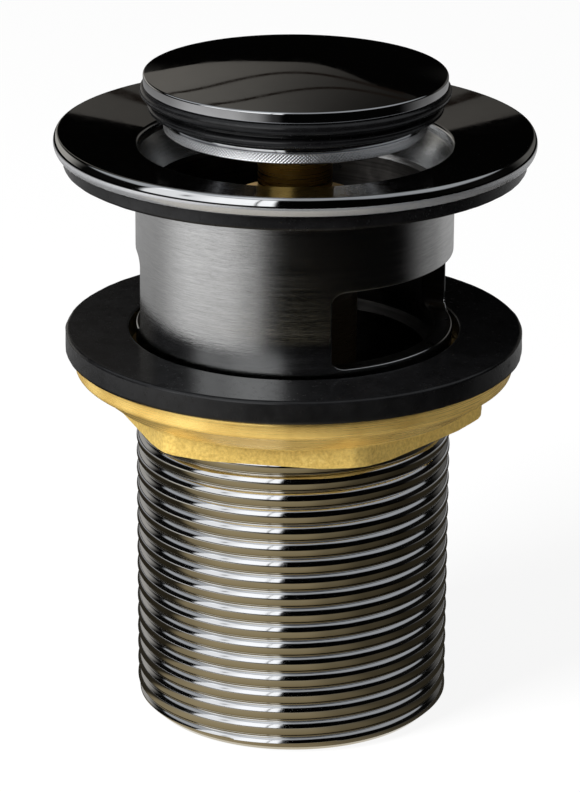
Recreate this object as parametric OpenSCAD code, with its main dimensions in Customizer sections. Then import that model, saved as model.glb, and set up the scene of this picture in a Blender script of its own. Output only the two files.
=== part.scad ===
// Push-to-open basin waste with two overflow windows, drawn with its plug raised.
// The origin is the centre of the tail's lower end, and +Z points up towards the basin.
// The overflow windows face +X and -X.

/* [Flange] */
// Outer diameter of the flange
flange_d = 62.9; // [58:0.1:72]
// Height of the flange's rounded rim
rim_h = 2.4; // [2:0.1:3.5]
// Fall of the dished top from the rim to the opening
dish_h = 1.6; // [1:0.1:2]
// Step from the barrel's bore out to the opening that the plug drops into
opening_step = 1.9; // [1.2:0.1:2.4]

/* [Body] */
// Height from the tail's end to the underside of the flange
body_h = 77.2; // [72:0.1:95]
// Outside diameter of the tail's pipe thread
thread_d = 41.91; // [41:0.01:43]
// Wall of the barrel
barrel_wall = 2.3; // [1.8:0.1:3]
// Wall of the tail, from its bore to the crest of the thread
tail_wall = 3.45; // [2.6:0.05:4.5]
// Height of the chamfer at the end of the thread
tail_chamfer = 1.45; // [0.8:0.05:2.2]

/* [Overflow windows] */
// Height of the windows' lower edge above the tail's end
window_z = 53.5; // [50:0.1:60]
// Width of each window, straight across
window_w = 29.8; // [20:0.1:32]
// Height of each window
window_h = 10.2; // [6:0.1:14]
// Radius of the windows' corners
window_corner = 1.3; // [0.5:0.1:2.5]

/* [Seals and backnut] */
// Width of the flange gasket, from its bore to its rim
gasket_w = 7.3; // [5:0.1:8]
// Thickness of the flange gasket
gasket_t = 2.1; // [1.5:0.1:4]
// Outer diameter of the rubber washer
washer_d = 60.6; // [54:0.1:66]
// Thickness of the rubber washer
washer_t = 3.2; // [2:0.1:5]
// Diameter of the backnut's round flange
nut_flange_d = 58; // [56:0.1:62]
// Thickness of the backnut's round flange at its rim
nut_flange_t = 2.6; // [1.5:0.1:3]
// Wall of the backnut at the middle of each flat of its hexagon
nut_flat_wall = 1.25; // [1:0.05:4]
// Height of the whole backnut
nut_h = 8.4; // [6:0.1:12]
// Angle from +X to a corner of the hexagon
nut_angle = 20.9; // [0:0.1:60]

/* [Plug] */
// Height of the cap's upright rim
cap_rim_h = 1.45; // [1:0.05:3]
// Rise of the dome above the rim
dome_h = 2.3; // [1:0.1:6]
// Height of the seal between the clamp ring and the cap
seal_h = 3.6; // [3.2:0.1:5]
// Gap from the clamp ring to the barrel's bore, with the plug pressed
ring_gap = 1.4; // [0.8:0.1:3]
// Height of the clamp ring
ring_h = 2.4; // [2:0.1:5]
// Diameter of the hub under the cap
hub_d = 22; // [18:0.5:26]

/* [Click mechanism] */
// Travel of the plug from raised to fully pressed
press_travel = 8.5; // [7:0.1:10]
// Press needed beyond the latched height
overtravel = 1.3; // [0.6:0.1:2]
// Diameter of the stem
stem_d = 9.8; // [9:0.1:11]
// Wire of the return spring
spring_wire = 0.9; // [0.7:0.05:1.1]
// Turns of the return spring, with its closed ends
spring_turns = 6.5; // [5:0.5:8]
// Angle that each groove of the index sleeve spans
groove_angle = 60; // [58:1:66]
// Angle that each spline of the rotor spans
spline_angle = 20; // [12:1:22]

/* [Bridge] */
// Diameter of the tapped boss that holds the cartridge
boss_d = 15; // [13:0.5:18]
// Height of the bridge
bridge_h = 5; // [4:0.5:8]
// Thickness of each arm of the bridge
arm_t = 3.2; // [2:0.1:5]

/* [Fits] */
// Radial gap of a piece that slides or turns in its guide
slide_gap = 0.06; // [0.03:0.01:0.09]
// Radial gap of a screwed or pushed-in joint
joint_gap = 0.03; // [0.02:0.01:0.06]
// Gap from the seal's lips to the funnel with the plug pressed
lip_gap = 0.25; // [0.15:0.05:0.4]
// Gap left at a stop
stop_gap = 0.05; // [0.02:0.01:0.1]

/* [Hidden] */
$fn = 96;
overlap = 0.5;

// Body, from its radii to its heights
thread_r = thread_d / 2;
barrel_relief = 0.055;
barrel_r = thread_r - barrel_relief;
barrel_bore_r = barrel_r - barrel_wall;
tail_bore_r = thread_r - tail_wall;
tail_end_r = thread_r - tail_chamfer;
bore_chamfer = 0.7;
flange_r = flange_d / 2;
rim_z = body_h + rim_h;
rim_round = 0.9;
rim_under_round = 0.6;
opening_r = barrel_bore_r + opening_step;
opening_z = rim_z - dish_h;
opening_round = 0.5;
land_h = 1.4;
land_z = opening_z - land_h;
funnel_h = 4.2;
funnel_z = land_z - funnel_h;
shoulder_wall = 2.2;
shoulder_r = opening_r + shoulder_wall;
shoulder_z = body_h - gasket_t + 0.2;
step_z = window_z - 2.5;
step_h = barrel_bore_r - tail_bore_r;

// Washer and backnut, hung from the windows' lower edge
window_gap = 0.7;
washer_z = window_z - window_gap - washer_t;
washer_gap = 0.9;
washer_hole_r = thread_r + washer_gap;
washer_round = 0.5;
nut_z = washer_z - nut_h;
nut_bore_r = thread_r + slide_gap;
nut_flat_r = nut_bore_r + nut_flat_wall;
nut_flange_r = nut_flange_d / 2;
nut_flange_round = 0.7;
nut_corner_r = nut_flat_r / cos(30);
nut_chamfer_r = nut_flat_r + 1.3;
nut_chamfer_slope = 3.7;
nut_turned_r = nut_corner_r - 0.5;
nut_cone_h = 2.7;
nut_cone_r = nut_flat_r + 2.75;
nut_bore_chamfer = 0.8;
thread_top_z = step_z - 0.5;

// Narrow groove just inside the nut, where the free thread of the tail ends
relief_z = nut_z - 0.1;
relief_h = 0.8;
relief_r = thread_r - 0.4;

// Gasket
gasket_bore_r = shoulder_r + 0.3;
gasket_r = gasket_bore_r + gasket_w;
gasket_round = 0.4;

// Plug, from the opening that it drops into
cap_sink = 0.7;
plug_z = opening_z - cap_sink + press_travel;
lip_r = opening_r - lip_gap;
lip_reach = 0.43;
cap_r = lip_r - lip_reach;
cap_edge = 0.35;
dome_r = (cap_r * cap_r + dome_h * dome_h) / (2 * dome_h);
dome_steps = 720;
seal_z = plug_z - seal_h;
ring_z = seal_z - ring_h;
ring_r = barrel_bore_r - ring_gap;
ring_band_h = 0.6;
ring_band_in = 0.5;
ring_edge = 0.3;
hub_r = hub_d / 2;
hub_inset = 0.6;
hub_z = ring_z + hub_inset;
hub_top_z = plug_z + 0.8;
upper_lip_round = 0.7;
upper_lip_z = plug_z - upper_lip_round - 0.05;
lower_lip_round = 0.5;
lower_lip_z = seal_z + 0.8;
lower_lip_r = funnel_r_at(lower_lip_z - press_travel) - lip_gap;
seal_core_r = min(lower_lip_r - 0.9, ring_r + 1.2);

// Stem and cartridge, stacked down from the pressed clamp ring
ring_clear = 0.8;
stem_r = stem_d / 2;
stud_r = 4;
stud_h = 4.4;
spigot_r = 3;
spigot_h = 2.6;
housing_top_z = ring_z - press_travel - ring_clear;
housing_lip_h = 0.7;
snap_t = 0.8;
snap_z = housing_top_z - housing_lip_h - snap_t;
snap_depth = 0.5;
snap_width = 1.6;
snap_gap_angle = 36;
bush_h = 3.2;
bush_z = snap_z - bush_h;
ring_groove_h = 1.4;
ring_groove_z = bush_z + 0.9;
o_ring_wire_r = 0.55;
crown_h = 5.4;
crown_top_z = bush_z - stop_gap;
crown_z = crown_top_z - crown_h;
tooth_h = 1.2;
teeth = 8;
ribs = 4;
rotor_gap = 0.15;
rotor_top_z = crown_z - rotor_gap;
rotor_h = 4.7;
rotor_z = rotor_top_z - rotor_h;
rotor_rim_h = 0.5;
pilot_r = 2.4;
pilot_h = 1.8;
spring_guide_h = 4.5;
slant = 28;
spline_drop = 0.2;
thrust_t = 0.6;
thrust_z = rotor_z - thrust_t;
spring_spare = 0.55;
spring_h = press_travel + spring_turns * spring_wire + spring_spare;
spring_z = thrust_z - spring_h;
floor_t = 2;
bridge_top_z = spring_z - floor_t;
boss_proud = 0.5;
sleeve_z = rotor_top_z - press_travel + overtravel;
sleeve_h = bush_z - sleeve_z;

// Radii of the cartridge, built outwards from the stem
rib_r = stem_r + 0.3;
spline_r = stem_r + 0.95;
groove_r = spline_r + 0.15;
sleeve_wall = 1;
sleeve_r = groove_r + sleeve_wall;
housing_bore_r = sleeve_r + joint_gap;
housing_wall = 1.3;
housing_r = housing_bore_r + housing_wall;
spring_room_r = groove_r + 0.3;
spring_r = stem_r - 0.3;
spring_guide_r = spring_r - spring_wire / 2 - 0.5;
thrust_r = rib_r - 0.15;
foot_af = 2 * housing_r + 0.6;
foot_h = 4;
foot_stud_r = 5;
foot_stud_h = bridge_h + 0.4;
groove_play = 2;
spline_start = groove_angle / 2 - groove_play - spline_angle;

// Return spring, as a wire swept round a helix
spring_steps = 20;
wire_sides = 8;
closed_turns = 1;

// Radius of the funnel under the opening at a height
function funnel_r_at(z) =
  z >= land_z ? opening_r : opening_r - (land_z - z) * (opening_r - barrel_bore_r) / funnel_h;

// Flat rectangle with round corners, from its lower left corner
module round_square(w, h, r) {
  translate([r, 0])
    square([w - 2 * r, h]);
  translate([0, r])
    square([w, h - 2 * r]);
  for (x = [r, w - r], y = [r, h - r])
    translate([x, y])
      circle(r);
}

// Ring with rounded edges
module round_ring(r_in, r_out, z, h, r) {
  rotate_extrude()
    translate([r_in, z])
      round_square(r_out - r_in, h, r);
}

// Plain ring
module ring(r_in, r_out, z, h) {
  difference() {
    translate([0, 0, z])
      cylinder(r = r_out, h = h);
    translate([0, 0, z - overlap])
      cylinder(r = r_in, h = h + 2 * overlap);
  }
}

// Piece of a ring between two angles
module ring_sector(r_in, r_out, z, h, start, span) {
  rotate([0, 0, start])
    rotate_extrude(angle = span)
      translate([r_in, z])
        square([r_out - r_in, h]);
}

// Half section of the body's outside
module body_outside() {
  polygon([
    [0, 0],
    [tail_end_r, 0],
    [thread_r, tail_chamfer],
    [thread_r, relief_z],
    [relief_r, relief_z],
    [relief_r, relief_z + relief_h],
    [thread_r, relief_z + relief_h],
    [thread_r, thread_top_z],
    [barrel_r, thread_top_z],
    [barrel_r, shoulder_z],
    [shoulder_r, body_h],
    [flange_r - rim_under_round, body_h],
    [flange_r - rim_under_round, body_h + rim_under_round],
    [flange_r, body_h + rim_under_round],
    [flange_r, rim_z - rim_round],
    [flange_r - rim_round, rim_z - rim_round],
    [flange_r - rim_round, rim_z],
    [opening_r + opening_round, opening_z],
    [opening_r + opening_round, opening_z - opening_round],
    [opening_r, opening_z - opening_round],
    [0, opening_z - opening_round]
  ]);
  translate([flange_r - rim_round, rim_z - rim_round])
    circle(rim_round);
  translate([flange_r - rim_under_round, body_h + rim_under_round])
    circle(rim_under_round);
  translate([opening_r + opening_round, opening_z - opening_round])
    circle(opening_round);
}

// Half section of the waterway through the body
module body_waterway() {
  polygon([
    [0, -overlap],
    [tail_bore_r + bore_chamfer + overlap, -overlap],
    [tail_bore_r, bore_chamfer],
    [tail_bore_r, step_z - step_h],
    [barrel_bore_r, step_z],
    [barrel_bore_r, funnel_z],
    [opening_r, land_z],
    [opening_r, rim_z],
    [0, rim_z]
  ]);
}

// Four arms across the tail with a boss in the middle that stands a little proud of them
module bridge() {
  bridge_z = bridge_top_z - bridge_h;
  difference() {
    union() {
      translate([0, 0, bridge_z])
        cylinder(d = boss_d, h = bridge_h);
      for (turn = [45, 135])
        rotate([0, 0, turn])
          translate([-tail_bore_r - overlap, -arm_t / 2, bridge_z + boss_proud])
            cube([2 * (tail_bore_r + overlap), arm_t, bridge_h - 2 * boss_proud]);
    }
    translate([0, 0, bridge_z - overlap])
      cylinder(r = foot_stud_r + joint_gap, h = bridge_h + 2 * overlap);
  }
}

// Both overflow windows, cut straight across the barrel
module window_cut() {
  rotate([90, 0, 90])
    translate([-window_w / 2, window_z, -thread_d])
      linear_extrude(2 * thread_d)
        round_square(window_w, window_h, window_corner);
}

module waste_body() {
  color("silver") {
    difference() {
      rotate_extrude()
        difference() {
          body_outside();
          body_waterway();
        }
      window_cut();
    }
    bridge();
  }
}

module flange_gasket() {
  color("dimgray")
    round_ring(gasket_bore_r, gasket_r, body_h - gasket_t, gasket_t, gasket_round);
}

module rubber_washer() {
  color("black")
    round_ring(washer_hole_r, washer_d / 2, washer_z, washer_t, washer_round);
}

// Hexagon with turned corners and a shallow chamfer below
module nut_hexagon() {
  hexagon_h = nut_h - nut_flange_t;
  intersection() {
    rotate([0, 0, nut_angle])
      translate([0, 0, nut_z])
        cylinder(r = nut_corner_r, h = hexagon_h, $fn = 6);
    translate([0, 0, nut_z])
      cylinder(r = nut_turned_r, h = hexagon_h);
    translate([0, 0, nut_z])
      cylinder(r1 = nut_chamfer_r, r2 = nut_chamfer_r + nut_chamfer_slope * hexagon_h, h = hexagon_h);
  }
}

module backnut() {
  flange_z = nut_z + nut_h - nut_flange_t;
  color("goldenrod")
    difference() {
      union() {
        nut_hexagon();
        translate([0, 0, flange_z - nut_cone_h])
          cylinder(r1 = nut_cone_r, r2 = nut_flange_r - nut_flange_round, h = nut_cone_h + overlap);
        rotate_extrude() {
          translate([0, flange_z])
            square([nut_flange_r - nut_flange_round, nut_flange_t]);
          translate([nut_flange_r - 3 * nut_flange_round, flange_z])
            round_square(3 * nut_flange_round, nut_flange_t, nut_flange_round);
        }
      }
      translate([0, 0, nut_z - overlap])
        cylinder(r = nut_bore_r, h = nut_h + 2 * overlap);
      translate([0, 0, nut_z - overlap])
        cylinder(
          r1 = nut_bore_r + nut_bore_chamfer + overlap,
          r2 = nut_bore_r,
          h = nut_bore_chamfer + overlap
        );
    }
}

// Half section of the cap, a dome on an upright rim
module cap_section() {
  intersection() {
    translate([0, plug_z + cap_rim_h + dome_h - dome_r])
      circle(dome_r, $fn = dome_steps);
    polygon([
      [0, plug_z],
      [cap_r - cap_edge, plug_z],
      [cap_r, plug_z + cap_edge],
      [cap_r, plug_z + cap_rim_h - cap_edge],
      [cap_r - cap_edge, plug_z + cap_rim_h],
      [cap_r - cap_edge, plug_z + cap_rim_h + dome_h],
      [0, plug_z + cap_rim_h + dome_h]
    ]);
  }
}

module plug_cap() {
  color("gainsboro")
    difference() {
      rotate_extrude()
        cap_section();
      translate([0, 0, plug_z - overlap])
        cylinder(r = hub_r + joint_gap, h = hub_top_z - plug_z + overlap);
    }
}

module plug_hub() {
  color("darkgoldenrod")
    difference() {
      translate([0, 0, hub_z])
        cylinder(r = hub_r, h = hub_top_z - hub_z);
      translate([0, 0, hub_z - overlap])
        cylinder(r = stud_r + joint_gap, h = stud_h + 2 * overlap);
    }
}

// Half section of the seal, a core with a wide upper lip and a narrower lower one
module seal_section() {
  bore_r = hub_r + joint_gap;
  translate([bore_r, seal_z])
    square([seal_core_r - bore_r, seal_h]);
  translate([bore_r, upper_lip_z - upper_lip_round])
    square([lip_r - upper_lip_round - bore_r, 2 * upper_lip_round]);
  translate([lip_r - upper_lip_round, upper_lip_z])
    circle(upper_lip_round);
  translate([bore_r, lower_lip_z - lower_lip_round])
    square([lower_lip_r - lower_lip_round - bore_r, 2 * lower_lip_round]);
  translate([lower_lip_r - lower_lip_round, lower_lip_z])
    circle(lower_lip_round);
}

module plug_seal() {
  color("black")
    rotate_extrude()
      seal_section();
}

module clamp_ring() {
  color("silver")
    rotate_extrude()
      polygon([
        [hub_r + joint_gap, ring_z],
        [ring_r - ring_edge, ring_z],
        [ring_r, ring_z + ring_edge],
        [ring_r, seal_z - ring_band_h],
        [ring_r - ring_band_in, seal_z],
        [hub_r + joint_gap, seal_z]
      ]);
}

// Rod with a stud for the hub above and a spigot for the crown below
module stem() {
  color("goldenrod") {
    translate([0, 0, crown_top_z])
      cylinder(r = stem_r, h = hub_z - crown_top_z);
    translate([0, 0, hub_z - overlap])
      cylinder(r = stud_r, h = stud_h + overlap);
    translate([0, 0, crown_top_z - spigot_h])
      cylinder(r = spigot_r, h = spigot_h + overlap);
  }
}

// Toothed end of the stem, with ribs that run in the sleeve's grooves
module push_crown() {
  rib_span = groove_angle - 2 * groove_play;
  notch = tooth_h * sqrt(2);
  color("ivory")
    difference() {
      union() {
        translate([0, 0, crown_z])
          cylinder(r = stem_r, h = crown_h);
        for (i = [0 : ribs - 1])
          ring_sector(
            stem_r - overlap, spline_r, crown_z, crown_h, i * 360 / ribs - rib_span / 2, rib_span
          );
      }
      translate([0, 0, crown_top_z - spigot_h])
        cylinder(r = spigot_r + joint_gap, h = spigot_h + overlap);
      translate([0, 0, crown_z - overlap])
        cylinder(r = pilot_r + slide_gap, h = crown_h);
      for (i = [0 : teeth / 2 - 1])
        rotate([0, 0, i * 360 / teeth])
          translate([0, 0, crown_z])
            rotate([45, 0, 0])
              cube([3 * spline_r, notch, notch], center = true);
    }
}

// Indexing rotor: four splines with slanted tops, a pilot above and a spring guide below
module rotor() {
  spline_h = rotor_h - rotor_rim_h;
  color("white") {
    translate([0, 0, rotor_z])
      cylinder(r = stem_r, h = rotor_h);
    translate([0, 0, rotor_top_z - overlap])
      cylinder(r = pilot_r, h = pilot_h + overlap);
    translate([0, 0, rotor_z - spring_guide_h])
      cylinder(r = spring_guide_r, h = spring_guide_h + overlap);
    for (i = [0 : ribs - 1])
      rotate([0, 0, i * 360 / ribs + spline_start])
        difference() {
          ring_sector(stem_r - overlap, spline_r, rotor_z + rotor_rim_h, spline_h, 0, spline_angle);
          slant_cut(spline_angle);
        }
  }
}

// Everything above a plane that falls from one side of a spline's top to the other
module slant_cut(span) {
  size = 4 * spline_r;
  rotate([0, 0, span])
    translate([0, 0, rotor_top_z - spline_drop])
      rotate([slant, 0, 0])
        translate([0, -size / 2, 0])
          cube([size, size, size]);
}

module thrust_washer() {
  color("lightsteelblue")
    ring(spring_guide_r + slide_gap, thrust_r, thrust_z, thrust_t);
}

// Height of the wire's centre, close-wound for a turn at each end
function spring_wire_z(turn) =
  let (
    open_turns = spring_turns - 2 * closed_turns,
    open_h = spring_h - spring_wire - 2 * closed_turns * spring_wire,
    low = min(turn, closed_turns),
    mid = min(max(turn - closed_turns, 0), open_turns),
    high = max(turn - closed_turns - open_turns, 0)
  )
  spring_z + spring_wire / 2 + (low + high) * spring_wire + mid * open_h / open_turns;

module return_spring() {
  last = spring_turns * spring_steps;
  points = [
    for (i = [0 : last])
      let (turn = 360 * i / spring_steps)
        for (k = [0 : wire_sides - 1])
          let (
            side = 360 * k / wire_sides,
            r = spring_r + spring_wire / 2 * cos(side)
          )
          [r * cos(turn), r * sin(turn), spring_wire_z(i / spring_steps) + spring_wire / 2 * sin(side)]
  ];
  sides = [
    for (i = [0 : last - 1], k = [0 : wire_sides - 1])
      let (n = (k + 1) % wire_sides)
        [i * wire_sides + k, i * wire_sides + n, (i + 1) * wire_sides + n, (i + 1) * wire_sides + k]
  ];
  start = [for (k = [wire_sides - 1 : -1 : 0]) k];
  end = [for (k = [0 : wire_sides - 1]) last * wire_sides + k];
  color("lightgray")
    polyhedron(points = points, faces = concat(sides, [start], [end]));
}

// Everything below a plane that rises across the end of one of the sleeve's ribs
module rib_end_cut() {
  size = 4 * spline_r;
  rib_angle = 360 / ribs - groove_angle;
  intersection() {
    ring_sector(rib_r - overlap, groove_r, sleeve_z - overlap, sleeve_h, 0, rib_angle);
    translate([0, 0, sleeve_z])
      rotate([slant, 0, 0])
        translate([0, -size / 2, -size])
          cube([size, size, size]);
  }
}

// Sleeve with four grooves: the ribs between them end in slants that catch the rotor
module index_sleeve() {
  color("whitesmoke")
    difference() {
      ring(rib_r, sleeve_r, sleeve_z, sleeve_h);
      for (i = [0 : ribs - 1]) {
        groove_start = i * 360 / ribs - groove_angle / 2;
        ring_sector(
          rib_r - overlap, groove_r, sleeve_z - overlap, sleeve_h + 2 * overlap, groove_start, groove_angle
        );
        rotate([0, 0, groove_start + groove_angle])
          rib_end_cut();
      }
    }
}

module cartridge_housing() {
  color("goldenrod")
    difference() {
      union() {
        translate([0, 0, bridge_top_z])
          cylinder(r = housing_r, h = housing_top_z - bridge_top_z);
        translate([0, 0, bridge_top_z])
          cylinder(d = foot_af / cos(30), h = foot_h, $fn = 6);
        translate([0, 0, bridge_top_z - foot_stud_h])
          cylinder(r = foot_stud_r, h = foot_stud_h + overlap);
      }
      translate([0, 0, spring_z])
        cylinder(r = spring_room_r, h = housing_top_z - spring_z + overlap);
      translate([0, 0, sleeve_z])
        cylinder(r = housing_bore_r, h = housing_top_z - sleeve_z + overlap);
      translate([0, 0, snap_z])
        cylinder(r = housing_bore_r + snap_depth, h = snap_t);
    }
}

// Bush that steers the stem, with an inner groove for the O-ring
module guide_bush() {
  color("white")
    difference() {
      ring(stem_r + slide_gap, sleeve_r, bush_z, bush_h);
      ring(stem_r - overlap, stem_r + 2 * o_ring_wire_r + 2 * slide_gap, ring_groove_z, ring_groove_h);
    }
}

module snap_ring() {
  ring_out_r = housing_bore_r + snap_depth - joint_gap;
  color("gray")
    ring_sector(ring_out_r - snap_width, ring_out_r, snap_z, snap_t, snap_gap_angle / 2, 360 - snap_gap_angle);
}

module stem_o_ring() {
  color("black")
    rotate_extrude()
      translate([stem_r + slide_gap / 2 + o_ring_wire_r, ring_groove_z + o_ring_wire_r])
        circle(o_ring_wire_r);
}

waste_body();
flange_gasket();
rubber_washer();
backnut();
plug_cap();
plug_hub();
plug_seal();
clamp_ring();
stem();
push_crown();
rotor();
thrust_washer();
return_spring();
index_sleeve();
cartridge_housing();
guide_bush();
snap_ring();
stem_o_ring();
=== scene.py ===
import math

import bpy
from mathutils import Matrix, Vector, noise
from mathutils.geometry import delaunay_2d_cdt


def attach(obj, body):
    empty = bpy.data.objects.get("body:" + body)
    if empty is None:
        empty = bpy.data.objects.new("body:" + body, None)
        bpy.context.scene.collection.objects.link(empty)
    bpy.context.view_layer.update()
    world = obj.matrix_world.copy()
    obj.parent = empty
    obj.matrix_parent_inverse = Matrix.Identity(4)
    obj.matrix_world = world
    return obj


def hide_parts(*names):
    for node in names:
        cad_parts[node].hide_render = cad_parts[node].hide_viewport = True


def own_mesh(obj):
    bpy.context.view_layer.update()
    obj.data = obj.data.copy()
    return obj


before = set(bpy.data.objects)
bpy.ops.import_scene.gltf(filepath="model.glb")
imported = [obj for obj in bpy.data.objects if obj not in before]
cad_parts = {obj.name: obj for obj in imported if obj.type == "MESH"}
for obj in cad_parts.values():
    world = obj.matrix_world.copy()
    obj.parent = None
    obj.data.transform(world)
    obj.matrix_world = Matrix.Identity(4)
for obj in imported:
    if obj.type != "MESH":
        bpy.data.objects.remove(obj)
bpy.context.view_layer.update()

# Lengths below are in millimetres, as in the part's source, and become metres in the meshes.
MM = 0.001
TAU = 2 * math.pi

# Pipe thread of the tail, polished to broad round crests with narrow roots between them.
PITCH = 2.309
CREST = 20.955
CREST_ROUND = 1.33
ROOT_HALF = 0.13
CREST_Z = 1.5
THREAD_TOP = 50.5
RUN_OUT = 2.6
TAIL_END_R = 19.505

# Barrel and its two overflow windows.
BARREL_R = 20.9
BORE_R = 18.6
TAIL_BORE_R = 17.505
BAND_LOW = 52.9
BAND_HIGH = 64.3
WINDOW_LOW = 53.5
WINDOW_HIGH = 63.7
WINDOW_HALF = 14.9
WINDOW_CORNER = 1.3
WINDOW_EDGE = 0.22
BODY_COLUMNS = 256
PATCH_COLUMNS = 42
ARC_STEPS = 5

# Flange with its dish, and the funnel below its opening.
NECK_LOW = 75.3
NECK_R = 22.7
FLANGE_LOW = 77.2
RIM_START_R = 30.93
RIM_TURNS = ((-90, -36, 0.3), (-36, 36, 1.82), (36, 100.0, 0.36))
DISH_R = 30.3
DISH_LOW = 77.94
OPENING_R = 20.5
FUNNEL_HIGH = 76.6
FUNNEL_LOW = 72.4
FUNNEL_END = 71.6

# Plug: dome, seal and clamp ring round the hub.
PLUG_TOP = 89.55
DOME_R = 86.55
CAP_R = 19.82
CAP_LOW = 85.8
SEAL_LOW = 82.2
CLAMP_R = 17.2
CLAMP_LOW = 79.8
HUB_R = 11.03
PLUG_COLUMNS = 256

# Rubber rings under the flange and above the nut.
RUBBER_R = 30.3
GASKET_LOW = 75.1
WASHER_HIGH = 52.8

# Backnut.
NUT_LOW = 41.2
NUT_HIGH = 49.6
NUT_APOTHEM = 22.265
NUT_CORNER_R = 25.21
NUT_CHAMFER_R = 23.565
NUT_CORNER_ANGLE = math.radians(20.9)
NUT_LEDGE_R = 25.0
NUT_LEDGE_Z = 44.3
NUT_FLANGE_R = 29.0
NUT_FLANGE_LOW = 47.0
NUT_FLANGE_ROUND = 0.7
NUT_CLEARANCE = 0.07
NUT_MOUTH_LOW_R = 21.815
NUT_MOUTH_HIGH_R = 21.3


class Skin:
    """Points, faces with a normal at every corner, and the finish of each face."""

    def __init__(self):
        self.points = []
        self.faces = []
        self.normals = []
        self.finish = []

    def point(self, x, y, z):
        self.points.append((x * MM, y * MM, z * MM))
        return len(self.points) - 1

    def face(self, corners, finish=0):
        """Face from corners (point, normal), without corners that repeat."""
        kept = []
        for corner in corners:
            if not kept or kept[-1][0] != corner[0]:
                kept.append(corner)
        if len(kept) > 1 and kept[0][0] == kept[-1][0]:
            kept.pop()
        if len(kept) < 3:
            return
        self.faces.append([index for index, _ in kept])
        self.normals.extend(normal for _, normal in kept)
        self.finish.append(finish)

    def between(self, rows, finish=0):
        """Faces between each closed row of corners and the next."""
        for near, far in zip(rows, rows[1:]):
            for i in range(len(near)):
                j = (i + 1) % len(near)
                self.face([near[i], near[j], far[j], far[i]], finish)

    def build(self, name, body, materials, replaces=None):
        """Makes the piece, which rides on a body and may stand for a CAD node."""
        mesh = bpy.data.meshes.new(name)
        mesh.from_pydata(self.points, [], self.faces)
        for material in materials:
            mesh.materials.append(material)
        for polygon, finish in zip(mesh.polygons, self.finish):
            polygon.use_smooth = True
            polygon.material_index = finish
        mesh.normals_split_custom_set([Vector(n).normalized() for n in self.normals])
        piece = bpy.data.objects.new(name, mesh)
        bpy.context.scene.collection.objects.link(piece)
        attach(piece, body)
        if replaces:
            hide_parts(replaces)
        return piece


def section(corners, closed=True, steps=6):
    """Outline (r, z, round) with the solid on its left, as rows (r, z, normal in, normal out).

    A round of 0 is a sharp corner, and None a point of a smooth curve.
    """
    rows = []
    last = len(corners) - 1
    for k, (r, z, fillet) in enumerate(corners):
        here = Vector((r, z))
        ahead = Vector(corners[(k + 1) % len(corners)][:2])
        back = Vector(corners[k - 1][:2])
        into = (here - back).normalized()
        away = (ahead - here).normalized()
        if not closed and k == 0:
            into = away
        if not closed and k == last:
            away = into
        turn = math.atan2(into.x * away.y - into.y * away.x, into.dot(away))
        if fillet is None:
            along = (into + away).normalized()
            rows.append((r, z, (along.y, -along.x), (along.y, -along.x)))
        elif fillet == 0 or abs(turn) < 1e-4:
            rows.append((r, z, (into.y, -into.x), (away.y, -away.x)))
        else:
            start = here - into * fillet * math.tan(abs(turn) / 2)
            centre = start + Vector((-into.y, into.x)) * math.copysign(fillet, turn)
            for step in range(steps + 1):
                spin = Matrix.Rotation(turn * step / steps, 2)
                spot = centre + spin @ (start - centre)
                along = spin @ into
                normal = (along.y, -along.x)
                rows.append((spot.x, spot.y, normal, normal))
    return rows


def around(normal, angle):
    """Normal (out, up) of a section, turned to an angle round the axis."""
    return (normal[0] * math.cos(angle), normal[0] * math.sin(angle), normal[1])


def revolve(skin, rows, columns, closed=True, finish=0, first=None, last=None):
    """Turns a section round the axis. The first and last ring may be rings that exist."""
    angles = [TAU * i / columns for i in range(columns)]
    rings = []
    for k, (r, z, _, _) in enumerate(rows):
        if k == 0 and first:
            rings.append(first)
        elif k == len(rows) - 1 and last:
            rings.append(last)
        elif r < 1e-6:
            rings.append([skin.point(0, 0, z)] * columns)
        else:
            rings.append([skin.point(r * math.cos(a), r * math.sin(a), z) for a in angles])
    for k in range(len(rows) if closed else len(rows) - 1):
        low, high = rows[k], rows[(k + 1) % len(rows)]
        if abs(low[0] - high[0]) + abs(low[1] - high[1]) < 1e-7:
            continue
        ring, after = rings[k], rings[(k + 1) % len(rows)]
        for i in range(columns):
            j = (i + 1) % columns
            skin.face([
                (ring[i], around(low[3], angles[i])),
                (ring[j], around(low[3], angles[j])),
                (after[j], around(high[2], angles[j])),
                (after[i], around(high[2], angles[i])),
            ], finish)
    return rings


def thread_radius(s):
    """Radius of the thread's profile at s along the axis from a crest."""
    s = abs((s + PITCH / 2) % PITCH - PITCH / 2)
    edge = PITCH / 2 - ROOT_HALF
    if s < edge:
        return CREST - CREST_ROUND + math.sqrt(CREST_ROUND**2 - s**2)
    drop = math.sqrt(CREST_ROUND**2 - edge**2)
    slope = edge / drop
    t = PITCH / 2 - s
    return CREST - CREST_ROUND + drop - slope * (ROOT_HALF - t * t / ROOT_HALF) / 2


def smoothstep(x):
    """Smooth rise from 0 to 1 as x goes from 0 to 1."""
    x = max(0.0, min(1.0, x))
    return x * x * (3 - 2 * x)


def tail_radius(angle, z):
    """Outside of the threaded tail, with its chamfered end and the run-out below the barrel."""
    cut = thread_radius(z - CREST_Z - PITCH * angle / TAU)
    cut = BARREL_R + (cut - BARREL_R) * smoothstep((THREAD_TOP - z) / RUN_OUT)
    return min(cut, TAIL_END_R + z)


def nut_bore_radius(angle, z):
    """Bore of the backnut, cut with the tail's thread and countersunk at both ends."""
    cut = thread_radius(z - CREST_Z - PITCH * angle / TAU) + NUT_CLEARANCE
    return max(cut, NUT_MOUTH_LOW_R - (z - NUT_LOW), NUT_MOUTH_HIGH_R - (NUT_HIGH - z))


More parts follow.
